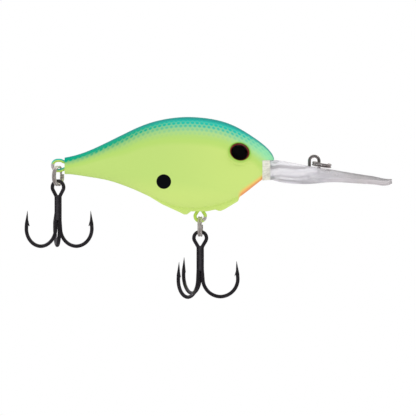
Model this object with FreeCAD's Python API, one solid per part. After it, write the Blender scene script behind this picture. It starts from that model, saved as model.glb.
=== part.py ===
import FreeCAD, Part
import math
import os

# Deep-diving crankbait lure, in millimetres.
# The origin is the centre of the line-tie eye. +X points forward along the lip,
# +Z points up, and the fish's right side faces -Y.

V = FreeCAD.Vector

# ---- driving dimensions -------------------------------------------------------

TAIL_X = -83.2              # flat end of the tail
NOSE_X = -13.4              # tip of the forehead, over the lip
WALL = 1.3                  # shell thickness
FIT = 0.04                  # clearance around anything that is glued or moulded in
CLEAR = 40.0                # reach of a cutting block that has to pass right out of the part

# Body stations from tail to nose: x, top, bottom, half width.
BODY_STATIONS = [
    (TAIL_X, 1.1, -4.4, 1.9),
    (-78.5, 2.2, -4.8, 2.9),
    (-72.7, 4.45, -5.7, 4.3),
    (-66.7, 7.35, -7.05, 5.9),
    (-60.7, 10.3, -9.25, 7.5),
    (-54.7, 12.7, -12.0, 8.8),
    (-48.7, 14.1, -14.8, 9.7),
    (-42.0, 14.65, -16.4, 10.0),
    (-35.0, 14.1, -15.8, 9.9),
    (-29.0, 12.65, -14.2, 9.3),
    (-24.0, 10.3, -11.4, 8.6),
    (-19.5, 7.4, -7.9, 7.6),
    (-16.4, 5.0, -5.6, 6.6),
    (-14.3, 2.7, -4.2, 5.4),
    (NOSE_X, 0.9, -3.2, 4.0),
]
SECTION_POINTS = 20         # points around one body section
BACK_POWER = 2.0            # roundness of the back, 2 is an ellipse
BELLY_POWER = 1.9
WIDEST_AT = 0.42            # height of the widest point, as a share of the section
CAVITY_REAR_X = -79.0
CAVITY_FRONT_X = -20.5

# Keel plate along the belly: x and z of its lower edge, from rear to front.
KEEL_EDGE = [
    (-55.6, -11.4),
    (-50.7, -14.4),
    (-44.8, -17.1),
    (-43.4, -17.8),
    (-42.4, -17.8),
    (-41.1, -16.8),
    (-36.0, -16.8),
    (-32.9, -16.2),
    (-31.9, -16.6),
    (-31.1, -16.6),
    (-29.9, -16.1),
    (-25.4, -13.4),
    (-24.8, -11.9),
]
KEEL_TOP_Z = -8.0
KEEL_HALF_WIDTH = 2.6
KEEL_CHAMFER = 0.5

# Lip stations from root to tip: x, crest, lower edge, half width, spine thickness.
LIP_STATIONS = [
    (-17.3, 0.25, -6.5, 4.7, 5.0),
    (-12.0, 0.15, -6.85, 4.5, 4.6),
    (-7.0, -0.7, -7.5, 4.6, 4.3),
    (-3.0, -1.45, -7.6, 5.6, 3.7),
    (0.5, -2.05, -7.35, 7.8, 2.9),
    (5.0, -2.75, -6.9, 10.0, 2.2),
    (10.0, -3.6, -6.98, 11.2, 1.9),
    (16.0, -4.57, -7.38, 11.6, 1.8),
    (21.0, -5.4, -7.9, 11.4, 1.7),
    (26.2, -6.03, -7.6, 10.8, 1.42),
]
LIP_EDGE = 1.45             # height of the lip's side edges
LIP_EDGE_SLOPE = 0.3        # how far the lower corner of an edge steps in
LIP_TIP_X = 25.9
BLADE_TIP_LENGTH = 13.0     # stretch of blade that its tip is rounded over
BLADE_TIP_POWER = 2.7
BLADE_TIP_STEPS = 16
LIP_ROOT_X = -17.3          # front face of the shells under the forehead
COLLAR_LENGTH = 2.6
COLLAR_BOTTOM_Z = -7.0
NOTCH_TOP_Z = 0.35          # underside of the forehead
TENON = (-26.0, -5.2, -0.8, 2.8)          # rear x, bottom, top, half width
TENON_MIDDLE_Z = (TENON[1] + TENON[2]) / 2
TENON_HOLE_X = -20.6        # crosswise locking hole in the tenon
TENON_HOLE_R = 1.0
TENON_OVERLAP = 0.5         # how far the tenon runs on into the collar
LIP_WEIGHT = (-25.6, -21.9, 1.5, -4.2, -1.8)   # rear x, front x, half width, bottom, top
WEIGHT_HOLE = (-27.0, -25.6, 1.0, -3.5, -2.5)  # hole behind the weight, measured the same way

# Wire parts.
SHARP_BEND = 0.8            # radius of a tight bend, at the middle of the wire
FULL_TURN = 0.98            # share of a loop's half width that its rounded corners take up
TIE_WIRE = 1.05
TIE_RADIUS = 1.6
TIE_BEND_Z = -3.6           # height at which the rear leg turns back along the spine
TIE_WIRE_END_X = -15.5
TIE_WIRE_END_Z = -2.4
TIE_FRONT_LEG_DROP = 0.2    # how far the front leg reaches below the rear leg's bend
HANGER_WIRE = 1.1
HANGER_RADIUS = 1.7
# Half of the belly hanger above its loop: distance from its middle and from its loop's centre.
BELLY_HANGER_FOOT = (2.53, 8.5)
BELLY_HANGER_NECK = (0.63, 1.95)
BELLY_HANGER_SHOULDER = 0.35
BELLY_HANGER_X = -38.0
BELLY_HANGER_Z = -18.4
TAIL_HANGER_X = -85.47
TAIL_HANGER_Z = -1.5
TAIL_HANGER_ROOT_X = -76.6
TAIL_HANGER_SHOULDER_X = -84.4
TAIL_NECK_BEND = 1.5
TAIL_HANGER_NECK = 1.12     # half the spacing of its two legs inside the tail

RING_WIRE = 0.72
RING_PITCH = 0.77
RING_RADIUS = 3.03
RING_REST_GAP = 0.33        # free play where one wire hangs on another
RING_STEP_ANGLE = 135       # where one turn steps over to the next, 180 is the ring's top
RING_END_SHARE = 0.3        # where a ring's wire ends, as a share of one side of its octagon
TAIL_RING_X = -85.4
TAIL_TURN = -25.4           # yaw of the tail ring and its treble, degrees
BELLY_TURN = -3.7

OVAL_WIRE = 0.68
OVAL_PITCH = 0.73
OVAL_HALF_LENGTH = 2.9
OVAL_HALF_WIDTH = 1.75
OVAL_REAR = (-0.35, -0.85)  # x and z of the ring's rear wire, between the eye's legs
OVAL_SLOPE = -8.5
OVAL_ROLL = 5.0
OVAL_STEP_ANGLE = 90        # on the ring's left side

# Treble hooks. Depths are measured down from the top of the eye.
HOOK_WIRE = 1.22
HOOK_SHANK_X = 0.64         # half the spacing of the two shanks of the double hook
HOOK_EYE_HALF_WIDTH = 2.1
HOOK_EYE_BEND = 1.6
HOOK_EYE_SHOULDER = 3.2     # depth where the eye starts to narrow
HOOK_EYE_END = 5.7
HOOK_KNEE_DEPTH = 13.2      # where each shank starts to lean outward
HOOK_SPLAY = 0.7            # how far it has leaned out at the bottom of the bend
HOOK_KNEE_RADIUS = 10.0
HOOK_BEND_DEPTH = 16.3
HOOK_BEND_RADIUS = 5.95
HOOK_LEG_BENDS = [HOOK_BEND_RADIUS, HOOK_BEND_RADIUS, HOOK_KNEE_RADIUS]
HOOK_GAPE = 11.95           # shank to point, at the top of the bend
HOOK_TIP_DEPTH = 10.4
HOOK_TIP_INSET = 0.45       # how far the point leans back to the shank
HOOK_TAPER = 4.2
BARB_ROOT_DEPTH = 14.7      # lower end of the barb's root
BARB_ROOT_LENGTH = 1.3
BARB_DROP = 0.8             # how far the barb's tip hangs below its root
BARB_HEIGHT = 0.5           # how far its tip stands off the wire
BARB_THICKNESS = 0.5
BARB_SUNK = 0.25
SINGLE_HOOK_TOP = 6.3
SHANK_GAP = 0.06            # solder film between the single hook's shank and the other two
# How each treble's single hook was brazed on: how much higher, and how far it is turned.
BELLY_SINGLE = (0.9, 2.0)
TAIL_SINGLE = (0.0, 4.0)
BRAZE_DEPTHS = (5.3, 13.6)
BRAZE_RADIUS = 1.06
HOOK_PIVOT_DEPTH = 2.12     # depth of the hinge axis below the top of the eye
HOOK_PIVOT_DROP = 0.2       # hinge axis below the middle of the ring's wire

# Eyes.
EYE_X = -24.9
EYE_Z = 3.1
EYE_RADIUS = 3.3
EYE_RIM = 0.4               # width of the raised rim round the socket
EYE_RIM_FLARE = 0.5         # how much wider the rim is at its foot
EYE_RIM_HEIGHT = 1.7
EYE_RIM_TOP = 0.3           # top of the rim above the head's surface
EYE_AXIS = (0.18, 0.85, 0.48)      # outward, for the left eye
EYE_SURFACE_Y = 8.1                # where the eye's axis meets the side of the head
EYE_DEPTH = 0.9
EYE_DISC = 0.45
EYE_DOME = 0.95
EYE_LENS_EDGE = 0.15        # height of the lens's edge above the head's surface
EYE_TOOL_HEIGHT = 4.0       # tall enough to reach out of the head

# Inside.
BALLAST = (-34.0, -27.5, 3.2, -11.4, -6.0)     # rear x, front x, half width, bottom, top
BALLAST_BEVEL = 1.2
KNOCKER_X = -44.5
KNOCKER_Z = 1.0
KNOCKER_R = 3.0
KNOCKER_CHAMBER_R = 3.4
KNOCKER_TRAVEL = 3.0
RATTLE_R = 1.5
RATTLE_CHAMBER_R = 1.75
RATTLE_X = (-58.2, -61.4, -64.6)
RATTLE_TRAVEL = 1.6
RATTLE_Z = -2.0
CHAMBER_WALL = 1.0
CHAMBER_END_GAP = 0.2       # free length beyond a ball's full travel
WIDEST_REACH = 12.0         # past the side of the body at its widest
HANGER_BOSS = (-41.5, -34.5, 2.6, -16.5, -8.6)
TAIL_BOSS = (-83.2, -75.5, 3.6, -5.5, 3.0)
PEGS = [(-70.0, 1.5), (-52.0, 9.0), (-33.0, 9.2), (-24.5, 6.0), (-48.5, -10.2)]
PEG_R = 1.0
PEG_LENGTH = 2.0
PEG_ROOT = 1.0              # how far a peg starts inside the left shell
PEG_END_GAP = 0.3
PEG_BOSS_R = 2.1
PEG_BOSS_REACH = 4.5
LOCK_REACH = 0.8            # how far the lip's locking pin passes beyond the tenon


# ---- helpers --------------------------------------------------------------------

def box(low, high):
    return Part.makeBox(high[0] - low[0], high[1] - low[1], high[2] - low[2], V(*low))


def slab(rear, front, half_width, bottom, top, grow=0.0):
    """A block centred on the middle plane, optionally grown on every side."""
    low = (rear - grow, -half_width - grow, bottom - grow)
    return box(low, (front + grow, half_width + grow, top + grow))


def cross_pin(x, z, radius, half_length):
    """A cylinder across the body, centred on the middle plane."""
    return Part.makeCylinder(radius, 2 * half_length, V(x, -half_length, z), V(0, 1, 0))


def wire_route(points, radii=None):
    """Straight runs joined by tangent arcs. With no radii, each arc is as large as fits."""
    edges = []
    start = points[0]
    for i in range(1, len(points) - 1):
        corner = points[i]
        into = (corner - points[i - 1]).normalize()
        out = (points[i + 1] - corner).normalize()
        half_turn = into.getAngle(out) / 2
        if radii:
            radius = radii[i - 1]
        else:
            room = 0.49 * min((corner - points[i - 1]).Length, (points[i + 1] - corner).Length)
            radius = room / math.tan(half_turn)
        reach = radius * math.tan(half_turn)
        inward = (out - into).normalize()
        first = corner - into * reach
        last = corner + out * reach
        middle = corner + inward * (radius / math.cos(half_turn) - radius)
        edges.append(Part.makeLine(start, first))
        edges.append(Part.Arc(first, middle, last).toShape())
        start = last
    edges.append(Part.makeLine(start, points[-1]))
    return Part.Wire(edges)


def round_wire(points, diameter, radii=None):
    """A bent round wire along a route."""
    profile = Part.makeCircle(diameter / 2, points[0], points[1] - points[0])
    return wire_route(points, radii).makePipeShell([Part.Wire([profile])], True, False)


def loft(sections):
    return Part.makeLoft(sections, True, False)


def save(name, shape):
    shape.exportStep("parts/" + name + ".step")


# ---- body -----------------------------------------------------------------------

def body_section(x, top, bottom, half_width):
    """A closed section that is rounder on the back than on the belly."""
    middle = bottom + WIDEST_AT * (top - bottom)
    points = []
    for i in range(SECTION_POINTS):
        angle = 2 * math.pi * i / SECTION_POINTS
        across = math.cos(angle)
        up = math.sin(angle)
        power = 2 / (BACK_POWER if up > 0 else BELLY_POWER)
        reach = top - middle if up > 0 else middle - bottom
        y = math.copysign(half_width * abs(across) ** power, across)
        z = middle + math.copysign(reach * abs(up) ** power, up)
        points.append(V(x, y, z))
    curve = Part.BSplineCurve()
    curve.interpolate(Points=points, PeriodicFlag=True)
    return Part.Wire([curve.toShape()])


def body_form():
    """The outside of the body, without keel or notch."""
    return loft([body_section(*station) for station in BODY_STATIONS])


def body_cavity_form():
    """The inside of the body: the outside form, one wall thickness smaller."""
    sections = []
    for x, top, bottom, half_width in BODY_STATIONS:
        if CAVITY_REAR_X < x < CAVITY_FRONT_X:
            sections.append(body_section(x, top - WALL, bottom + WALL, half_width - WALL))
    return loft(sections)


def keel():
    """The stepped plate along the belly, with bevelled lower edges."""
    outline = [V(x, -KEEL_HALF_WIDTH, z) for x, z in KEEL_EDGE]
    outline.append(V(KEEL_EDGE[-1][0], -KEEL_HALF_WIDTH, KEEL_TOP_Z))
    outline.append(V(KEEL_EDGE[0][0], -KEEL_HALF_WIDTH, KEEL_TOP_Z))
    face = Part.Face(Part.makePolygon(outline + outline[:1]))
    plate = face.extrude(V(0, 2 * KEEL_HALF_WIDTH, 0))
    bevelled = []
    for edge in plate.Edges:
        lengthwise = edge.BoundBox.YLength < FIT
        low = edge.BoundBox.ZMax < KEEL_TOP_Z - 1
        if lengthwise and low:
            bevelled.append(edge)
    return plate.makeChamfer(KEEL_CHAMFER, bevelled)


def eye_frame(side):
    """Placement with its origin on the head's surface and its Z axis along the eye's axis."""
    axis = V(EYE_AXIS[0], side * EYE_AXIS[1], EYE_AXIS[2])
    return FreeCAD.Placement(V(EYE_X, side * EYE_SURFACE_Y, EYE_Z), FreeCAD.Rotation(V(0, 0, 1), axis))


def eye_rim(side):
    """Raised rim round the eye's socket."""
    top_radius = EYE_RADIUS + EYE_RIM
    foot = V(0, 0, EYE_RIM_TOP - EYE_RIM_HEIGHT)
    rim = Part.makeCone(top_radius + EYE_RIM_FLARE, top_radius, EYE_RIM_HEIGHT, foot)
    rim.Placement = eye_frame(side)
    return rim


def eye_socket(side):
    socket = Part.makeCylinder(EYE_RADIUS + FIT, EYE_TOOL_HEIGHT, V(0, 0, -EYE_DEPTH))
    socket.Placement = eye_frame(side)
    return socket


def eye_disc(side):
    disc = Part.makeCylinder(EYE_RADIUS, EYE_DISC, V(0, 0, -EYE_DEPTH + FIT))
    disc.Placement = eye_frame(side)
    return disc


def eye_lens(side):
    """Clear dome that sits on the printed disc."""
    base = -EYE_DEPTH + EYE_DISC + 2 * FIT
    rise = EYE_DOME
    sphere_r = (EYE_RADIUS ** 2 + rise ** 2) / (2 * rise)
    ball = Part.makeSphere(sphere_r, V(0, 0, EYE_LENS_EDGE + rise - sphere_r))
    lens = Part.makeCylinder(EYE_RADIUS, EYE_TOOL_HEIGHT, V(0, 0, base)).common(ball)
    lens.Placement = eye_frame(side)
    return lens


# ---- lip ------------------------------------------------------------------------

def lip_section(x, crest, lower, half_width, spine):
    """An arched section: the top is one arc, and the underside is hollow beside the spine."""
    side_top = V(x, half_width, lower + LIP_EDGE)
    side_low = V(x, half_width - LIP_EDGE_SLOPE, lower)
    far_top = V(x, -half_width, lower + LIP_EDGE)
    far_low = V(x, -half_width + LIP_EDGE_SLOPE, lower)
    edges = [
        Part.Arc(far_top, V(x, 0, crest), side_top).toShape(),
        Part.makeLine(side_top, side_low),
        Part.Arc(side_low, V(x, 0, crest - spine), far_low).toShape(),
        Part.makeLine(far_low, far_top),
    ]
    return Part.Wire(edges)


def blade_outline():
    """Plan view of the lip: straight sides with a rounded tip."""
    half_width = max(station[3] for station in LIP_STATIONS) + FIT
    centre_x = LIP_TIP_X - BLADE_TIP_LENGTH
    power = 2 / BLADE_TIP_POWER
    points = []
    for i in range(BLADE_TIP_STEPS + 1):
        angle = math.pi * (i / BLADE_TIP_STEPS - 0.5)
        forward = max(math.cos(angle), 0.0) ** power
        across = math.copysign(abs(math.sin(angle)) ** power, math.sin(angle))
        points.append(V(centre_x + BLADE_TIP_LENGTH * forward, half_width * across, -CLEAR))
    tip = Part.BSplineCurve()
    tip.interpolate(points)
    rear_left = V(-CLEAR, half_width, -CLEAR)
    rear_right = V(-CLEAR, -half_width, -CLEAR)
    sides = [
        tip.toShape(),
        Part.makeLine(points[-1], rear_left),
        Part.makeLine(rear_left, rear_right),
        Part.makeLine(rear_right, points[0]),
    ]
    return Part.Face(Part.Wire(sides)).extrude(V(0, 0, 2 * CLEAR))


def lip_collar():
    """The lip's root carries the head's shape on under the forehead."""
    front = LIP_ROOT_X + COLLAR_LENGTH
    reach = slab(LIP_ROOT_X, front, CLEAR, COLLAR_BOTTOM_Z, NOTCH_TOP_Z - FIT)
    return body_form().common(reach)


def tie_wire_points():
    """An inverted U above the lip whose legs turn back inside the spine."""
    r = TIE_RADIUS
    return [
        V(TIE_WIRE_END_X, 0, TIE_WIRE_END_Z),
        V(-r, 0, TIE_BEND_Z),
        V(-r, 0, r),
        V(r, 0, r),
        V(r, 0, TIE_BEND_Z - TIE_FRONT_LEG_DROP),
    ]


def line_tie_wire(grow=0.0):
    bends = [SHARP_BEND, FULL_TURN * TIE_RADIUS, FULL_TURN * TIE_RADIUS]
    return round_wire(tie_wire_points(), TIE_WIRE + grow, bends)


def lip_weight(grow=0.0):
    return slab(*LIP_WEIGHT, grow=grow)


def tenon(grow=0.0):
    rear, bottom, top, half_width = TENON
    return slab(rear, LIP_ROOT_X + TENON_OVERLAP, half_width, bottom, top, grow=grow)


def diving_lip():
    blade = loft([lip_section(*station) for station in LIP_STATIONS]).common(blade_outline())
    lip = blade.fuse([lip_collar(), tenon()]).removeSplitter()
    cuts = [
        line_tie_wire(grow=2 * FIT),
        lip_weight(grow=FIT).fuse(slab(*WEIGHT_HOLE)),
        cross_pin(TENON_HOLE_X, TENON_MIDDLE_Z, TENON_HOLE_R, CLEAR),
    ]
    return lip.cut(cuts)


# ---- hangers and rings ----------------------------------------------------------

def belly_hanger(grow=0.0):
    """Wire loop whose legs close up inside the belly and splay at their ends."""
    r = HANGER_RADIUS
    leg, neck = BELLY_HANGER_NECK
    half = [
        BELLY_HANGER_FOOT,
        (leg, BELLY_HANGER_FOOT[1]),
        (leg, neck),
        (r, BELLY_HANGER_SHOULDER),
        (r, -r),
    ]
    x = BELLY_HANGER_X
    z = BELLY_HANGER_Z
    left = [V(x - dx, 0, z + dz) for dx, dz in half]
    right = [V(x + dx, 0, z + dz) for dx, dz in reversed(half)]
    bends = [SHARP_BEND, SHARP_BEND, SHARP_BEND, FULL_TURN * r]
    return round_wire(left + right, HANGER_WIRE + grow, bends + bends[::-1])


def tail_hanger(grow=0.0):
    """Wire loop that stands out of the tail, with two straight legs in the shells."""
    r = HANGER_RADIUS
    loop_end = TAIL_HANGER_X - r
    half = [
        (TAIL_HANGER_ROOT_X, TAIL_HANGER_NECK),
        (TAIL_X - 0.1, TAIL_HANGER_NECK),
        (TAIL_HANGER_SHOULDER_X, r),
        (loop_end, r),
    ]
    z = TAIL_HANGER_Z
    upper = [V(x, 0, z + dz) for x, dz in half]
    lower = [V(x, 0, z - dz) for x, dz in reversed(half)]
    bends = [TAIL_NECK_BEND, TAIL_NECK_BEND, FULL_TURN * r]
    return round_wire(upper + lower, HANGER_WIRE + grow, bends + bends[::-1])


def coil_points(half_length, half_width, pitch, step_angle):
    """Two flat turns of an oval, with one step up between them at the given angle."""
    stretch = half_length - half_width
    reach = half_width / math.cos(math.radians(22.5))
    corners = []
    for i in range(8):
        angle = math.radians(step_angle + 22.5 + 45 * i)
        x = reach * math.cos(angle) + math.copysign(stretch, math.cos(angle))
        corners.append((x, reach * math.sin(angle)))
    lower = [V(x, y, -pitch / 2) for x, y in corners]
    upper = [V(x, y, pitch / 2) for x, y in corners]
    start = lower[0] + (lower[1] - lower[0]) * RING_END_SHARE
    end = upper[-1] + (upper[-2] - upper[-1]) * RING_END_SHARE
    return [start] + lower[1:] + upper[:-1] + [end]


def split_ring(half_length, half_width, pitch, diameter, step_angle):
    return round_wire(coil_points(half_length, half_width, pitch, step_angle), diameter)


def round_ring(centre, turn):
    """A hanging split ring: its normal is level, turned from +X."""
    ring = split_ring(RING_RADIUS, RING_RADIUS, RING_PITCH, RING_WIRE, RING_STEP_ANGLE)
    lift = FreeCAD.Rotation(V(0, 1, 0), 90)
    ring.Placement = FreeCAD.Placement(centre, FreeCAD.Rotation(V(0, 0, 1), turn) * lift)
    return ring


def ring_drop():
    """From the middle of the wire that a ring hangs on down to the ring's centre."""
    return RING_RADIUS - RING_WIRE / 2 - RING_REST_GAP - HANGER_WIRE / 2


def belly_ring_centre():
    return V(BELLY_HANGER_X, 0, BELLY_HANGER_Z - HANGER_RADIUS - ring_drop())


def tail_ring_centre():
    return V(TAIL_RING_X, 0, TAIL_HANGER_Z - HANGER_RADIUS - ring_drop())


def line_tie_ring():
    """Oval split ring lying forward on the lip."""
    ring = split_ring(OVAL_HALF_LENGTH, OVAL_HALF_WIDTH, OVAL_PITCH, OVAL_WIRE, OVAL_STEP_ANGLE)
    rear = V(OVAL_REAR[0], 0, OVAL_REAR[1])
    ring.translate(V(OVAL_HALF_LENGTH, 0, 0))
    lie = FreeCAD.Rotation(V(0, 1, 0), -OVAL_SLOPE) * FreeCAD.Rotation(V(1, 0, 0), OVAL_ROLL)
    ring.Placement = FreeCAD.Placement(rear, lie) * ring.Placement
    return ring


# ---- treble hooks ---------------------------------------------------------------

def hook_depth(depth):
    """Height above the treble's own hinge axis of a point at a depth below its eye's top."""
    return HOOK_PIVOT_DEPTH - depth


def hook_leg(foot, azimuth):
    """From a shank down, round the bend and up to where the point's taper starts."""
    toward = V(math.cos(math.radians(azimuth)), math.sin(math.radians(azimuth)), 0)
    bottom = hook_depth(HOOK_BEND_DEPTH + HOOK_BEND_RADIUS)
    lean = HOOK_TIP_INSET / (HOOK_BEND_DEPTH - HOOK_TIP_DEPTH)
    low_reach = HOOK_GAPE + lean * HOOK_BEND_RADIUS
    tip_reach = HOOK_GAPE - HOOK_TIP_INSET
    knee = foot + V(0, 0, hook_depth(HOOK_KNEE_DEPTH))
    near = foot + toward * HOOK_SPLAY + V(0, 0, bottom)
    far = foot + toward * low_reach + V(0, 0, bottom)
    tip = foot + toward * tip_reach + V(0, 0, hook_depth(HOOK_TIP_DEPTH))
    rise = (tip - far).normalize()
    route = [tip - rise * HOOK_TAPER, far, near, knee]
    return {"route": route, "rise": rise, "inward": toward * -1}


def point_and_barb(leg):
    """The sharpened end of a hook, with its barb on the inner side."""
    r = HOOK_WIRE / 2
    taper = leg["route"][0]
    point = Part.makeCone(r, 0.05, HOOK_TAPER, taper, leg["rise"])
    base = taper - leg["rise"] * (BARB_ROOT_DEPTH - HOOK_TIP_DEPTH - HOOK_TAPER)
    across = leg["rise"].cross(leg["inward"]).normalize() * (BARB_THICKNESS / 2)
    root = base + leg["inward"] * (r - BARB_SUNK) + across
    corners = [
        root,
        root + leg["inward"] * (BARB_SUNK + BARB_HEIGHT) - leg["rise"] * BARB_DROP,
        root + leg["rise"] * BARB_ROOT_LENGTH,
    ]
    face = Part.Face(Part.makePolygon(corners + corners[:1]))
    return [point, face.extrude(across * -2)]


def double_hook():
    """Two hooks and the eye, bent from one wire."""
    right = hook_leg(V(HOOK_SHANK_X, 0, 0), 0)
    left = hook_leg(V(-HOOK_SHANK_X, 0, 0), -120)
    eye_half = [
        V(HOOK_SHANK_X, 0, hook_depth(HOOK_EYE_END)),
        V(HOOK_EYE_HALF_WIDTH, 0, hook_depth(HOOK_EYE_SHOULDER)),
        V(HOOK_EYE_HALF_WIDTH, 0, hook_depth(HOOK_WIRE / 2)),
    ]
    other_half = [V(-p.x, 0, p.z) for p in reversed(eye_half)]
    points = right["route"] + eye_half + other_half + left["route"][::-1]
    bends = HOOK_LEG_BENDS + [HOOK_EYE_BEND, HOOK_EYE_BEND, FULL_TURN * HOOK_EYE_HALF_WIDTH]
    wire = round_wire(points, HOOK_WIRE, bends + bends[::-1])
    return wire.fuse(point_and_barb(right) + point_and_barb(left))


def single_hook_foot():
    """The third shank lies in the groove between the other two."""
    reach = math.sqrt((HOOK_WIRE + SHANK_GAP) ** 2 - HOOK_SHANK_X ** 2)
    return V(0, reach, 0)


def single_hook(rise, turn):
    foot = single_hook_foot()
    leg = hook_leg(foot, 120 + turn)
    top = foot + V(0, 0, hook_depth(SINGLE_HOOK_TOP))
    wire = round_wire(leg["route"] + [top], HOOK_WIRE, HOOK_LEG_BENDS)
    hook = wire.fuse(point_and_barb(leg))
    hook.translate(V(0, 0, rise))
    return hook


def hook_braze(hooks):
    """Solder that fills the grooves between the shanks of the given hooks."""
    top, bottom = (hook_depth(depth) for depth in BRAZE_DEPTHS)
    middle = single_hook_foot() * (1 / 3)
    fill = Part.makeCylinder(BRAZE_RADIUS, top - bottom, middle + V(0, 0, bottom))
    return fill.cut(hooks)


def treble(rise, turn):
    """The three parts of a treble hook, hanging from the origin."""
    double = double_hook()
    single = single_hook(rise, turn)
    return {"double_hook": double, "single_hook": single, "hook_braze": hook_braze([double, single])}


def hang_on_ring(shape, ring_centre, turn):
    """Hang a treble's part on the bottom of a ring."""
    pivot = ring_centre - V(0, 0, RING_RADIUS + HOOK_PIVOT_DROP)
    hang = FreeCAD.Placement(pivot, FreeCAD.Rotation(V(0, 0, 1), turn))
    shape.Placement = hang * shape.Placement
    return shape


# ---- inside ---------------------------------------------------------------------

def belly_ballast(grow=0.0):
    """Cast slug with bevelled lower corners that follow the belly."""
    slug = slab(*BALLAST, grow=grow)
    low_edges = []
    for edge in slug.Edges:
        lengthwise = edge.BoundBox.XLength > 1
        at_bottom = edge.BoundBox.ZMax < BALLAST[3] + WALL
        if lengthwise and at_bottom:
            low_edges.append(edge)
    return slug.makeChamfer(BALLAST_BEVEL, low_edges)


def knocker_ball():
    return Part.makeSphere(KNOCKER_R, V(KNOCKER_X, 0, KNOCKER_Z))


def rattle_ball(x):
    return Part.makeSphere(RATTLE_R, V(x, 0, RATTLE_Z))


def knocker_chamber():
    half_length = KNOCKER_TRAVEL + KNOCKER_R + CHAMBER_END_GAP
    return cross_pin(KNOCKER_X, KNOCKER_Z, KNOCKER_CHAMBER_R, half_length)


def rattle_chamber(wall=0.0):
    beyond = RATTLE_TRAVEL + RATTLE_R + CHAMBER_END_GAP + wall
    rear = min(RATTLE_X) - beyond
    front = max(RATTLE_X) + beyond
    start = V(rear, 0, RATTLE_Z)
    return Part.makeCylinder(RATTLE_CHAMBER_R + wall, front - rear, start, V(1, 0, 0))


# ---- shells ---------------------------------------------------------------------

def solid_inside():
    """Ribs, bosses and chamber walls that stand in the hollow of the shells."""
    nose = slab(TENON[0], LIP_ROOT_X, TENON[3], TENON[1], TENON[2], grow=CHAMBER_WALL)
    pegs = [cross_pin(x, z, PEG_BOSS_R, PEG_BOSS_REACH) for x, z in PEGS]
    return [
        nose,
        slab(*HANGER_BOSS),
        slab(*TAIL_BOSS),
        slab(*BALLAST, grow=CHAMBER_WALL),
        cross_pin(KNOCKER_X, KNOCKER_Z, KNOCKER_CHAMBER_R + CHAMBER_WALL, WIDEST_REACH),
        rattle_chamber(CHAMBER_WALL),
    ] + pegs


def whole_body():
    """Both shells in one, hollow, with every pocket cut."""
    notch = slab(LIP_ROOT_X, CLEAR, CLEAR, -CLEAR, NOTCH_TOP_Z)
    form = body_form().fuse([keel(), eye_rim(1), eye_rim(-1)]).cut(notch)
    cavity = body_cavity_form().cut(solid_inside())
    pockets = [
        cavity,
        tenon(grow=FIT),
        belly_hanger(grow=2 * FIT),
        tail_hanger(grow=2 * FIT),
        belly_ballast(grow=FIT),
        knocker_chamber(),
        rattle_chamber(),
        eye_socket(1),
        eye_socket(-1),
    ]
    return form.cut(pockets)


def lip_lock():
    """Pin on the left shell that passes through the lip's tenon."""
    length = 2 * TENON[3] + LOCK_REACH
    start = V(TENON_HOLE_X, -TENON[3], TENON_MIDDLE_Z)
    return Part.makeCylinder(TENON_HOLE_R - 2 * FIT, length, start, V(0, 1, 0))


def half_shells():
    """Split the body on its middle plane; the left half carries the locating pegs."""
    body = whole_body()
    left = body.common(box((TAIL_X - CLEAR, 0, -CLEAR), (CLEAR, CLEAR, CLEAR)))
    right = body.common(box((TAIL_X - CLEAR, -CLEAR, -CLEAR), (CLEAR, 0, CLEAR)))
    pegs = []
    sockets = []
    for x, z in PEGS:
        start = V(x, PEG_ROOT, z)
        pegs.append(Part.makeCylinder(PEG_R, PEG_LENGTH + PEG_ROOT, start, V(0, -1, 0)))
        sockets.append(cross_pin(x, z, PEG_R + FIT, PEG_LENGTH + PEG_END_GAP))
    left = left.fuse(pegs + [lip_lock()])
    right = right.cut(sockets)
    return left, right


# ---- write every piece ----------------------------------------------------------

def main():
    os.makedirs("parts", exist_ok=True)
    left, right = half_shells()
    pieces = {
        "left_body_shell": left,
        "right_body_shell": right,
        "diving_lip": diving_lip(),
        "lip_weight": lip_weight(),
        "line_tie_wire": line_tie_wire(),
        "line_tie_split_ring": line_tie_ring(),
        "belly_hook_hanger": belly_hanger(),
        "tail_hook_hanger": tail_hanger(),
        "belly_ballast": belly_ballast(),
        "knocker_ball": knocker_ball(),
    }
    for number, x in enumerate(RATTLE_X, start=1):
        pieces["rattle_ball_%d" % number] = rattle_ball(x)
    for name, side in (("left", 1), ("right", -1)):
        pieces[name + "_eye_disc"] = eye_disc(side)
        pieces[name + "_eye_lens"] = eye_lens(side)
    hangings = (
        ("belly", belly_ring_centre(), BELLY_TURN, BELLY_SINGLE),
        ("tail", tail_ring_centre(), TAIL_TURN, TAIL_SINGLE),
    )
    for name, centre, turn, single in hangings:
        pieces[name + "_split_ring"] = round_ring(centre, turn)
        for part, shape in treble(*single).items():
            pieces[name + "_" + part] = hang_on_ring(shape, centre, turn)
    for name, shape in pieces.items():
        save(name, shape)
        print("%-22s solids %d valid %s" % (name, len(shape.Solids), shape.isValid()))


main()
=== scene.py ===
import math

import bpy
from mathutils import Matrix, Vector


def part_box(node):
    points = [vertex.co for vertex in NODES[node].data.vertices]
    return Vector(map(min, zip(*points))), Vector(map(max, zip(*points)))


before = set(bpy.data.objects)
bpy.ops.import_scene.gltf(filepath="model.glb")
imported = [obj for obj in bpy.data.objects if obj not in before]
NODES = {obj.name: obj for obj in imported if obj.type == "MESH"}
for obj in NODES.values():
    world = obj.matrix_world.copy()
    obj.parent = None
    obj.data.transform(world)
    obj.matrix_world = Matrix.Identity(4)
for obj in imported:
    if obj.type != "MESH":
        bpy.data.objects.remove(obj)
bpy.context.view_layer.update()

MM = 0.001


# ---- colours --------------------------------------------------------------------

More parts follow.
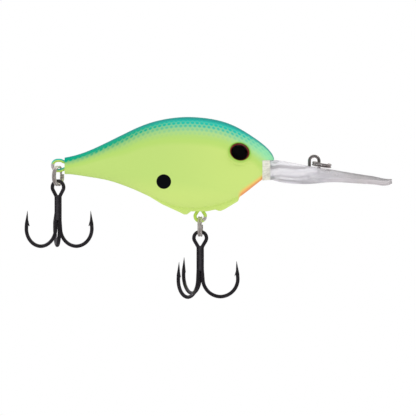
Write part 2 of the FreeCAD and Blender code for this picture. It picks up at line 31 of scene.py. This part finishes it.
def linear(red, green, blue):
    """A screen colour, 0 to 255, as a linear colour with full alpha."""
    shares = [value / 255 for value in (red, green, blue)]
    return (*(v / 12.92 if v <= 0.04045 else ((v + 0.055) / 1.055) ** 2.4 for v in shares), 1.0)


LIME = linear(196, 225, 124)
# painted light: a lighter lime for the nose end and the belly
LIME_PAINTED_LIGHT = linear(207, 231, 128)
# painted shade: a darker, greener lime for a band under the back colour
LIME_PAINTED_SHADE = linear(186, 223, 112)
MINT = linear(150, 234, 178)
TEAL = linear(30, 190, 170)
EMERALD = linear(2, 172, 132)
TEAL_DEEP = linear(0, 152, 142)
# painted shade: the recess of each eye socket
SOCKET_SHADE_GREEN = linear(128, 186, 52)
WIRE_LIME = linear(192, 222, 96)
BLUSH = linear(250, 170, 105)
BLUSH_EDGE = linear(250, 208, 110)
DOT_BLACK = linear(9, 11, 16)
EYE_INK = linear(3, 2, 4)
EYE_RED = linear(150, 52, 50)
STEEL = linear(250, 242, 238)
STEEL_DARK = linear(196, 186, 182)
BARE_STEEL = linear(214, 208, 206)
BARE_STEEL_DARK = linear(168, 158, 156)
BLACK_NICKEL = linear(78, 74, 80)
BLACK_NICKEL_DARK = linear(60, 57, 62)
BALL_STEEL = linear(190, 190, 192)
BALL_STEEL_DARK = linear(170, 170, 172)
LEAD = linear(120, 122, 126)
LEAD_DARK = linear(86, 88, 92)
CLEAR = linear(254, 252, 255)
CLEAR_STREAK = linear(240, 238, 244)
CLEAR_TIP = linear(226, 221, 223)
COLLAR_TINT = linear(244, 243, 228)
DOME_CLEAR = linear(250, 250, 252)
WHITE = linear(255, 255, 255)
BLACK = linear(0, 0, 0)


# ---- node helpers ---------------------------------------------------------------

class Graph:
    """Adds shader nodes to an owner's node tree and links them in one call."""

    def __init__(self, owner, shader):
        owner.use_nodes = True
        self.tree = owner.node_tree
        self.shader = self.tree.nodes[shader]

    def add(self, kind, **values):
        node = self.tree.nodes.new(kind)
        for key, value in values.items():
            setattr(node, key, value)
        return node

    def feed(self, socket, value):
        """Link an output to a socket, or set the socket's own value."""
        if isinstance(value, bpy.types.NodeSocket):
            self.tree.links.new(value, socket)
        else:
            socket.default_value = value

    def math(self, operation, a, b=0.0, c=0.0):
        node = self.add("ShaderNodeMath", operation=operation)
        for socket, value in zip(node.inputs, (a, b, c)):
            self.feed(socket, value)
        return node.outputs[0]

    def length(self, a, b):
        """The length of a vector with two components."""
        squared = self.math("MULTIPLY", b, b)
        return self.math("SQRT", self.math("MULTIPLY_ADD", a, a, squared))

    def ease(self, value, low, high, to_low=0.0, to_high=1.0):
        """Smooth step from to_low, where the value is low, to to_high, where it is high."""
        node = self.add("ShaderNodeMapRange", interpolation_type="SMOOTHSTEP")
        for name, number in (("Value", value), ("From Min", low), ("From Max", high),
                             ("To Min", to_low), ("To Max", to_high)):
            self.feed(node.inputs[name], number)
        return node.outputs[0]

    def mix(self, factor, a, b):
        node = self.add("ShaderNodeMix", data_type="RGBA")
        self.feed(node.inputs["Factor"], factor)
        self.feed(node.inputs[6], a)
        self.feed(node.inputs[7], b)
        return node.outputs[2]

    def curve(self, value, points):
        """A smooth curve through (input, output) points, both 0 to 1."""
        node = self.add("ShaderNodeFloatCurve")
        line = node.mapping.curves[0]
        while len(line.points) < len(points):
            line.points.new(0.5, 0.5)
        for point, place in zip(line.points, points):
            point.location = place
        node.mapping.update()
        self.feed(node.inputs["Value"], value)
        return node.outputs[0]

    def place(self):
        """The point's place in the row frame, in millimetres, as x, y and z."""
        coordinates = self.add("ShaderNodeTexCoord")
        scale = self.add("ShaderNodeVectorMath", operation="SCALE")
        self.feed(scale.inputs[0], coordinates.outputs["Object"])
        scale.inputs["Scale"].default_value = 1 / MM
        self.point = scale.outputs[0]
        return self.split(self.point)

    def split(self, vector):
        """A vector's x, y and z."""
        node = self.add("ShaderNodeSeparateXYZ")
        self.feed(node.inputs[0], vector)
        return node.outputs

    def noise(self, scale, detail=2.0):
        """Noise from 0 to 1 at the current point. Its scale is in features per millimetre."""
        node = self.add("ShaderNodeTexNoise")
        self.feed(node.inputs["Vector"], self.point)
        node.inputs["Scale"].default_value = scale
        node.inputs["Detail"].default_value = detail
        return node.outputs["Fac"]

    def bump(self, height, distance, strength):
        """Relief on the shader's surface: height from 0 to 1, distance in metres."""
        node = self.add("ShaderNodeBump")
        self.feed(node.inputs["Height"], height)
        node.inputs["Distance"].default_value = distance
        node.inputs["Strength"].default_value = strength
        self.feed(self.shader.inputs["Normal"], node.outputs["Normal"])

    def surface(self, **values):
        """Set the shader's own sockets; underscores stand for spaces."""
        for key, value in values.items():
            self.feed(self.shader.inputs[key.replace("_", " ")], value)


class Paint(Graph):
    """The node graph of a new material."""

    def __init__(self, name):
        self.material = bpy.data.materials.new(name)
        super().__init__(self.material, "Principled BSDF")


# ---- body paint -----------------------------------------------------------------
# Depth is the distance in millimetres round the girth from the middle of the back. Reach is how
# far down the back colour comes there, and a share is a depth divided by that reach. Along runs
# from 0 at the tail to 1 at the nose. A fade lists the values where it starts and where it is full.

SHELLS = ("left_body_shell", "right_body_shell")
SHELL_LOW, SHELL_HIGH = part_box(SHELLS[0])
TAIL_X = SHELL_LOW[0] / MM
NOSE_X = SHELL_HIGH[0] / MM
HEIGHT_SPAN = 40.0          # the back's height is stored in its curve as a share of this
HEIGHT_MIDDLE = 0.5         # where height 0 lies in that curve
BACK_POINTS = 15
BACK_POINT_REACH = 0.12     # how near a vertex has to be to a point of the curve, in steps
# Reach, in millimetres, at places along the body.
BACK_REACH = ((0.0, 4.4), (0.15, 6.8), (0.35, 11.2), (0.6, 13.4), (0.8, 13.2), (1.0, 12.0))
REACH_SPAN = 20.0

SCALE_PITCH = 1.56          # scales along the body, mm
SCALE_ROW = 1.38            # rows of scales, mm
SCALE_EDGE = (0.66, 0.3)    # radii of a scale's soft edge, mm

CLOUD_GRAIN = 0.12          # soft patches that keep the sprayed edges from being even
CLOUD_DEPTH = 0.05
# Painted light: the lime turns lighter towards the nose and towards the belly.
PAINTED_LIGHT_ALONG = (0.4, 0.9)
PAINTED_LIGHT_BELLY_Z = (-4.0, -12.0)
# Painted shade: a darker, greener band under the back colour.
SHADE_BAND_TOP = (0.6, 0.76)
SHADE_BAND_FOOT = (1.0, 0.84)
SHADE_BAND_STRENGTH = 0.8
MINT_SHARE = (0.85, 0.5)
MINT_ALONG = (0.74, 0.96)
MINT_STRENGTH = 0.75
SPRAY_SHARE = (0.86, 0.04)
SPRAY_NOSE = (0.8, 1.0, 1.0, 0.31)      # the spray thins from 1 to 0.31 towards the nose
UNDER_NET = (0.4, 0.1, 1.2, 1.65)       # cover between the scales rises from 1.2 to 1.65 at the tail
NET_COVER = 0.65                        # what a scale adds to that cover
EMERALD_ALONG = (0.6, 0.25)
DEEP_SHARE = (0.3, 0.16)

CHIN_REAR_X = -25.0
CHIN_REAR_Z = -11.9
CHIN_SLOPE = 0.72
CHIN_REAR_FADE = (-25.6, -24.0)
BLUSH_EDGE_ABOVE = (2.4, 1.0)           # height above the chin line
BLUSH_ABOVE = (1.4, 0.4)
DOT_X, DOT_Z = -50.1, -6.7
DOT_EDGE = (2.53, 2.37)                 # radii of the dot's soft edge
DOT_LEAST_Y = 3.0
SOCKET_SHADE_OUTER = (4.05, 3.6)              # radii of the shaded rim round the eye
SOCKET_SHADE_INNER = (3.1, 3.3)
SOCKET_SHADE_STRENGTH = 0.8

SEAM_EDGE = (0.02, 0.16)
SEAM_RELIEF = 0.8
SCALE_RELIEF = 0.35
PAINT_GRAIN = 0.6
PAINT_RELIEF = 0.25
BODY_RELIEF = 0.03 * MM


def back_line():
    """The height of the back along the body, read from the shell's own vertices."""
    tops = [-HEIGHT_SPAN] * BACK_POINTS
    step = (NOSE_X - TAIL_X) / (BACK_POINTS - 1)
    for vertex in NODES[SHELLS[0]].data.vertices:
        place = (vertex.co.x / MM - TAIL_X) / step
        nearest = round(place)
        if abs(place - nearest) < BACK_POINT_REACH:
            tops[nearest] = max(tops[nearest], vertex.co.z / MM)
    last = BACK_POINTS - 1
    return [(i / last, top / HEIGHT_SPAN + HEIGHT_MIDDLE) for i, top in enumerate(tops)]


def scale_spots(g, x, depth):
    """Staggered round spots: 1 inside a spot, 0 between."""
    row = g.math("DIVIDE", depth, SCALE_ROW)
    stagger = g.math("MULTIPLY", g.math("MODULO", g.math("FLOOR", row), 2.0), 0.5)
    column = g.math("ADD", g.math("DIVIDE", x, SCALE_PITCH), stagger)
    across = g.math("MULTIPLY", g.math("SUBTRACT", g.math("FRACT", column), 0.5), SCALE_PITCH)
    down = g.math("MULTIPLY", g.math("SUBTRACT", g.math("FRACT", row), 0.5), SCALE_ROW)
    return g.ease(g.length(across, down), *SCALE_EDGE)


def back_place(g, x, y, z):
    """Depth round the girth and place along the body."""
    along = g.math("DIVIDE", g.math("SUBTRACT", x, TAIL_X), NOSE_X - TAIL_X)
    height = g.math("SUBTRACT", g.curve(along, back_line()), HEIGHT_MIDDLE)
    top = g.math("MULTIPLY", height, HEIGHT_SPAN)
    drop = g.math("MAXIMUM", g.math("SUBTRACT", top, z), 0.0)
    return g.length(drop, y), along


def reach_share(g, depth, along):
    """Depth as a share of the back colour's reach, made uneven by soft patches."""
    curve = [(place, reach / REACH_SPAN) for place, reach in BACK_REACH]
    reach = g.math("MULTIPLY", g.curve(along, curve), REACH_SPAN)
    cloud = g.math("MULTIPLY", g.math("SUBTRACT", g.noise(CLOUD_GRAIN), 0.5), CLOUD_DEPTH)
    return g.math("ADD", g.math("DIVIDE", depth, reach), cloud)


def middle(node):
    """The middle of a node's box, in metres."""
    low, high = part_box(node)
    return (Vector(low) + Vector(high)) / 2


def eye_distance(g, x, y, z):
    """Distance from the middle of the nearer eye, in millimetres."""
    mirrored = g.add("ShaderNodeCombineXYZ")
    for socket, value in zip(mirrored.inputs, (x, g.math("ABSOLUTE", y), z)):
        g.feed(socket, value)
    offset = g.add("ShaderNodeVectorMath", operation="DISTANCE")
    g.feed(offset.inputs[0], mirrored.outputs[0])
    offset.inputs[1].default_value = middle("left_eye_disc") / MM
    return offset.outputs["Value"]


def lime_sides(g, z, share, along):
    """Lime, with painted light that makes it lighter in front and below, a painted shade band,
    darker and greener, under the back, and a minty nose.
    """
    # painted light: lighter lime towards the nose and the belly
    light = g.math("MAXIMUM", g.ease(along, *PAINTED_LIGHT_ALONG), g.ease(z, *PAINTED_LIGHT_BELLY_Z))
    colour = g.mix(light, LIME, LIME_PAINTED_LIGHT)
    # painted shade: a darker, greener band under the back colour
    shade_band = g.math("MULTIPLY", g.ease(share, *SHADE_BAND_TOP), g.ease(share, *SHADE_BAND_FOOT))
    colour = g.mix(g.math("MULTIPLY", shade_band, SHADE_BAND_STRENGTH), colour, LIME_PAINTED_SHADE)
    mint = g.math("MULTIPLY", g.ease(share, *MINT_SHARE), g.ease(along, *MINT_ALONG))
    return g.mix(g.math("MULTIPLY", mint, MINT_STRENGTH), colour, MINT)


def add_back(g, colour, share, along, spots, spray):
    """Teal sprayed from above through a scale net, deeper along the middle of the back and
    greener towards the tail."""
    through_net = g.math("MULTIPLY_ADD", spots, NET_COVER, g.ease(along, *UNDER_NET))
    cover = g.math("MINIMUM", g.math("MULTIPLY", spray, through_net), 1.0)
    back = g.mix(g.ease(along, *EMERALD_ALONG), TEAL, EMERALD)
    colour = g.mix(cover, colour, back)
    return g.mix(g.ease(share, *DEEP_SHARE), colour, TEAL_DEEP)


def add_blush(g, colour, x, z):
    """Orange under the chin with a yellow edge, below a line that rises towards the nose."""
    from_rear = g.math("SUBTRACT", x, CHIN_REAR_X)
    above = g.math("SUBTRACT", z, g.math("MULTIPLY_ADD", from_rear, CHIN_SLOPE, CHIN_REAR_Z))
    ahead = g.ease(x, *CHIN_REAR_FADE)
    for fade, tint in ((BLUSH_EDGE_ABOVE, BLUSH_EDGE), (BLUSH_ABOVE, BLUSH)):
        colour = g.mix(g.math("MULTIPLY", g.ease(above, *fade), ahead), colour, tint)
    return colour


def add_dot(g, colour, x, y, z):
    """A black dot on each side of the body."""
    radius = g.length(g.math("SUBTRACT", x, DOT_X), g.math("SUBTRACT", z, DOT_Z))
    outside = g.math("GREATER_THAN", g.math("ABSOLUTE", y), DOT_LEAST_Y)
    return g.mix(g.math("MULTIPLY", g.ease(radius, *DOT_EDGE), outside), colour, DOT_BLACK)


def add_socket_shade(g, colour, x, y, z):
    """Painted shade: a darker green rim round each eye, where the recessed socket lies in shadow."""
    radius = eye_distance(g, x, y, z)
    shaded_rim = g.math("MULTIPLY", g.ease(radius, *SOCKET_SHADE_OUTER), g.ease(radius, *SOCKET_SHADE_INNER))
    return g.mix(g.math("MULTIPLY", shaded_rim, SOCKET_SHADE_STRENGTH), colour, SOCKET_SHADE_GREEN)


def body_paint():
    """Airbrushed paint with a fine groove on the middle seam and slightly raised scales."""
    g = Paint("body_paint")
    x, y, z = g.place()
    depth, along = back_place(g, x, y, z)
    share = reach_share(g, depth, along)
    spots = scale_spots(g, x, depth)
    spray = g.math("MULTIPLY", g.ease(share, *SPRAY_SHARE), g.ease(along, *SPRAY_NOSE))
    colour = lime_sides(g, z, share, along)
    colour = add_back(g, colour, share, along, spots, spray)
    colour = add_blush(g, colour, x, z)
    colour = add_dot(g, colour, x, y, z)
    colour = add_socket_shade(g, colour, x, y, z)

    seam = g.math("MULTIPLY", g.ease(g.math("ABSOLUTE", y), *SEAM_EDGE), SEAM_RELIEF)
    relief = g.math("MULTIPLY_ADD", g.noise(PAINT_GRAIN), PAINT_RELIEF, seam)
    relief = g.math("MULTIPLY_ADD", g.math("MULTIPLY", spots, spray), SCALE_RELIEF, relief)
    g.bump(relief, BODY_RELIEF, strength=0.5)
    g.surface(Base_Color=colour, Roughness=0.45, IOR=1.35, Specular_IOR_Level=0.1)
    g.surface(Coat_Weight=0.02, Coat_Roughness=0.1)
    return g.material


# ---- clear parts ----------------------------------------------------------------

COLLAR_EDGE = (-14.4, -15.0)    # x where the clear blade turns into the cloudy collar
COLLAR_CLEARNESS = (0.04, 0.22)
LIP_CLEARNESS = 0.68
LIP_TIP_X = (0.0, 16.0)
GLUE_GRAIN = 2.0
GLUE_PATCHES = (0.4, 0.62)
FLOW_STRETCH = (0.12, 0.8, 0.8)
FLOW_STREAKS = (0.35, 0.7)
FLOW_RELIEF = 0.05 * MM


def clear_plastic(name, roughness, index):
    """Clear moulded plastic, rippled along its length. Also returns the ripple and x."""
    g = Paint(name)
    x = g.place()["X"]
    stretch = g.add("ShaderNodeVectorMath", operation="MULTIPLY")
    g.feed(stretch.inputs[0], g.point)
    stretch.inputs[1].default_value = FLOW_STRETCH
    g.point = stretch.outputs[0]
    flow = g.noise(1.0)
    g.bump(flow, FLOW_RELIEF, strength=0.6)
    g.surface(Roughness=roughness, IOR=index)
    return g, flow, x


def eye_dome():
    """Thin water-clear cap. Its low index keeps reflections off the black pupil."""
    g = clear_plastic("eye_dome", roughness=0.02, index=1.12)[0]
    g.surface(Base_Color=DOME_CLEAR, Transmission_Weight=1.0)
    return g.material


def lip_plastic():
    """Streaky and clear in the blade, greyer towards its tip, and cloudy in the collar."""
    g, flow, x = clear_plastic("lip_plastic", roughness=0.03, index=1.49)
    colour = g.mix(g.ease(flow, *FLOW_STREAKS), CLEAR, CLEAR_STREAK)
    colour = g.mix(g.ease(x, *LIP_TIP_X), colour, CLEAR_TIP)
    in_collar = g.ease(x, *COLLAR_EDGE)
    g.surface(Base_Color=g.mix(in_collar, colour, COLLAR_TINT))
    glue = g.ease(g.noise(GLUE_GRAIN), *GLUE_PATCHES, *COLLAR_CLEARNESS)
    change = g.math("SUBTRACT", glue, LIP_CLEARNESS)
    g.surface(Transmission_Weight=g.math("MULTIPLY_ADD", in_collar, change, LIP_CLEARNESS))
    return g.material


# ---- eyes -----------------------------------------------------------------------

EYE_RED_RING = (2.75, 3.0)      # radii where the pupil turns into the red ring
EYE_EDGE_GRAIN = 3.0
EYE_EDGE_WOBBLE = 0.12


def eye_print():
    """Printed disc: black pupil and a thin red ring."""
    g = Paint("eye_print")
    x, y, z = g.place()
    distance = eye_distance(g, x, y, z)
    radius = g.math("MULTIPLY_ADD", g.noise(EYE_EDGE_GRAIN), EYE_EDGE_WOBBLE, distance)
    colour = g.mix(g.ease(radius, *EYE_RED_RING), EYE_INK, EYE_RED)
    g.surface(Base_Color=colour, Roughness=0.6, Specular_IOR_Level=0.0)
    return g.material


# ---- metal ----------------------------------------------------------------------

STEEL_METAL = 0.6
PATCHES = (0.3, 0.7)
PATCH_ROUGHNESS = 0.14          # how much rougher the dark patches are
MARK_GRAIN = 9                  # fine marks to one patch
MARK_RELIEF = 0.01 * MM
SPRAY_FACING = (-0.1, 0.45)     # how far up a surface faces where the spray reached it
WEAR_GRAIN = 1.6
WEAR_RAGGED = 0.7
WEAR_EDGE = (0.45, 0.3)         # added to a worn spot's radius
WEAR_RELIEF = -0.04 * MM


def worked_metal(name, light, dark, metal, roughness, grain):
    """Metal with fine marks and slightly darker, rougher patches, grain of them to 1 mm."""
    g = Paint(name)
    g.place()
    patches = g.noise(grain, detail=4.0)
    g.bump(g.noise(grain * MARK_GRAIN), MARK_RELIEF, strength=0.5)
    g.surface(Base_Color=g.mix(g.ease(patches, *PATCHES), light, dark), Metallic=metal)
    rougher = roughness + PATCH_ROUGHNESS
    g.surface(Roughness=g.ease(patches, *PATCHES, roughness, rougher))
    return g.material


def painted_wire(name, worn_x, worn_z, worn_radius, teal):
    """Wire painted with the body, rubbed back to bare metal where a ring rubs it. The back
    colour was sprayed from above, so it lies on the upper side of each run."""
    g = Paint(name)
    x, y, z = g.place()
    facing = g.split(g.add("ShaderNodeNewGeometry").outputs["Normal"])["Z"]
    sprayed = g.math("MULTIPLY", g.ease(facing, *SPRAY_FACING), teal)
    colour = g.mix(sprayed, WIRE_LIME, TEAL)
    radius = g.length(g.math("SUBTRACT", x, worn_x), g.math("SUBTRACT", z, worn_z))
    ragged = g.math("MULTIPLY_ADD", g.noise(WEAR_GRAIN, detail=4.0), WEAR_RAGGED, radius)
    worn = g.ease(ragged, *(worn_radius + edge for edge in WEAR_EDGE))
    g.bump(worn, WEAR_RELIEF, strength=0.7)
    g.surface(Base_Color=g.mix(worn, colour, STEEL))
    g.surface(Metallic=g.math("MULTIPLY", worn, STEEL_METAL))
    g.surface(Roughness=0.35, Specular_IOR_Level=0.2)
    return g.material


# ---- materials on the pieces ----------------------------------------------------

RINGS = ["belly_split_ring", "tail_split_ring"]
LINE_TIE = ["line_tie_wire", "line_tie_split_ring"]
HOOKS = ["belly_double_hook", "belly_single_hook", "tail_double_hook", "tail_single_hook"]
BRAZES = ["belly_hook_braze", "tail_hook_braze"]
BALLS = ["knocker_ball"] + ["rattle_ball_%d" % number for number in (1, 2, 3)]
LEADS = ["lip_weight", "belly_ballast"]

# Name, colour, colour of the darker patches, metallic share, roughness, grain and pieces.
METALS = (
    ("nickel_wire", STEEL, STEEL_DARK, STEEL_METAL, 0.14, 0.5, RINGS),
    ("bare_steel_wire", BARE_STEEL, BARE_STEEL_DARK, 0.85, 0.14, 0.5, LINE_TIE),
    ("black_nickel_wire", BLACK_NICKEL, BLACK_NICKEL_DARK, 0.7, 0.16, 0.4, HOOKS),
    ("plated_solder", BLACK_NICKEL, BLACK_NICKEL_DARK, 0.4, 0.45, 1.2, BRAZES),
    ("polished_ball", BALL_STEEL, BALL_STEEL_DARK, 1.0, 0.1, 0.3, BALLS),
    ("cast_lead", LEAD, LEAD_DARK, 0.8, 0.55, 0.8, LEADS),
)
# Name, x, z and radius of the worn spot in millimetres, share of teal and piece.
HANGERS = (
    ("belly_hanger_paint", -36.4, -19.3, 0.75, 0.0, "belly_hook_hanger"),
    ("tail_hanger_paint", -87.4, -1.9, 1.0, 1.0, "tail_hook_hanger"),
)


def dress(material, nodes):
    """Give each node its material."""
    for node in nodes:
        slots = NODES[node].data.materials
        slots.clear()
        slots.append(material)


dress(body_paint(), SHELLS)
dress(lip_plastic(), ["diving_lip"])
dress(eye_dome(), ["left_eye_lens", "right_eye_lens"])
dress(eye_print(), ["left_eye_disc", "right_eye_disc"])
for *look, pieces in METALS:
    dress(worked_metal(*look), pieces)
for *look, piece in HANGERS:
    dress(painted_wire(*look), [piece])


# ---- stage ----------------------------------------------------------------------

VIEW_CENTRE = Vector((-35.4, 0.0, -15.7)) * MM
VIEW_WIDTH = 138.7 * MM
VIEW_DISTANCE = 2.5
VIEW_ELEVATION = math.radians(1.5)
SENSOR = 36.0
KEY_PLACE = (0.43, 0.14, 0.54)
KEY_SIZE = 0.08
KEY_POWER = 0.5
FLOOR_Z = -0.15
FLOOR_HALF = 1.0

# Brightness of the floor and the surround where the part mirrors them or shows them through its
# clear pieces. Seen directly, both are plain white. A fade lists two values of a ray's direction,
# Z up or Y away from the camera, and the brightness at each.
FLOOR_MIRRORED = 0.08
FLOOR_SEEN_THROUGH = 1.0
MIRRORED_HEIGHT = (0.0, 0.8, 0.22, 1.0)
MIRRORED_AWAY = (-0.4, 0.2, 0.05, 1.0)
SEEN_THROUGH_AWAY = (-0.9, 0.3, 0.75, 1.0)


def aim(thing, target):
    """Turn a camera or light towards a point."""
    direction = target - thing.location
    thing.rotation_euler = direction.to_track_quat("-Z", "Y").to_euler()


def make_camera():
    """A long lens facing the right side of the part from a little above."""
    data = bpy.data.cameras.new("camera")
    data.sensor_width = SENSOR
    data.lens = SENSOR * VIEW_DISTANCE / VIEW_WIDTH
    camera = bpy.data.objects.new("camera", data)
    back = Vector((0, -math.cos(VIEW_ELEVATION), math.sin(VIEW_ELEVATION)))
    camera.location = VIEW_CENTRE + back * VIEW_DISTANCE
    aim(camera, VIEW_CENTRE)
    bpy.context.scene.collection.objects.link(camera)
    bpy.context.scene.camera = camera


def make_key_light():
    """A small lamp ahead of the nose and above it, a little to the far side, for highlights."""
    data = bpy.data.lights.new("key", "AREA")
    data.size = KEY_SIZE
    data.energy = KEY_POWER
    light = bpy.data.objects.new("key", data)
    light.location = KEY_PLACE
    aim(light, VIEW_CENTRE)
    bpy.context.scene.collection.objects.link(light)


def bounced(g):
    """Two switches: 1 for rays that a surface mirrors or lets through, and 1 for only those that
    it lets through."""
    ray = g.add("ShaderNodeLightPath").outputs
    through = ray["Is Transmission Ray"]
    return g.math("MAXIMUM", ray["Is Glossy Ray"], through), through


def make_floor():
    """Plain glowing paper, white like the backdrop and dim in reflections."""
    mesh = bpy.data.meshes.new("floor")
    corners = [(x * FLOOR_HALF, y * FLOOR_HALF, FLOOR_Z)
               for x, y in ((-1, -1), (1, -1), (1, 1), (-1, 1))]
    mesh.from_pydata(corners, [], [(0, 1, 2, 3)])
    floor = bpy.data.objects.new("floor", mesh)
    bpy.context.scene.collection.objects.link(floor)
    g = Paint("floor_paper")
    any_bounced, through = bounced(g)
    dimmed = g.math("MAXIMUM", g.math("MULTIPLY", through, FLOOR_SEEN_THROUGH), FLOOR_MIRRORED)
    glow = g.math("MAXIMUM", dimmed, g.math("SUBTRACT", 1.0, any_bounced))
    g.surface(Base_Color=BLACK, Roughness=1.0, Specular_IOR_Level=0.0)
    g.surface(Emission_Color=WHITE, Emission_Strength=glow)
    mesh.materials.append(g.material)


def make_world():
    """An even white surround. In reflections it is dark behind the camera and brightest above."""
    world = bpy.data.worlds.new("studio")
    g = Graph(world, "Background")
    direction = g.split(g.add("ShaderNodeTexCoord").outputs["Generated"])
    any_bounced, through = bounced(g)
    mirrored = g.math("MULTIPLY", g.ease(direction["Z"], *MIRRORED_HEIGHT),
                      g.ease(direction["Y"], *MIRRORED_AWAY))
    refracted = g.math("MULTIPLY", g.ease(direction["Y"], *SEEN_THROUGH_AWAY), through)
    strength = g.math("MAXIMUM", mirrored, refracted)
    strength = g.math("MAXIMUM", strength, g.math("SUBTRACT", 1.0, any_bounced))
    g.surface(Color=WHITE, Strength=strength)
    bpy.context.scene.world = world


make_camera()
make_world()
make_floor()
make_key_light()
bpy.context.scene.view_settings.view_transform = "Standard"
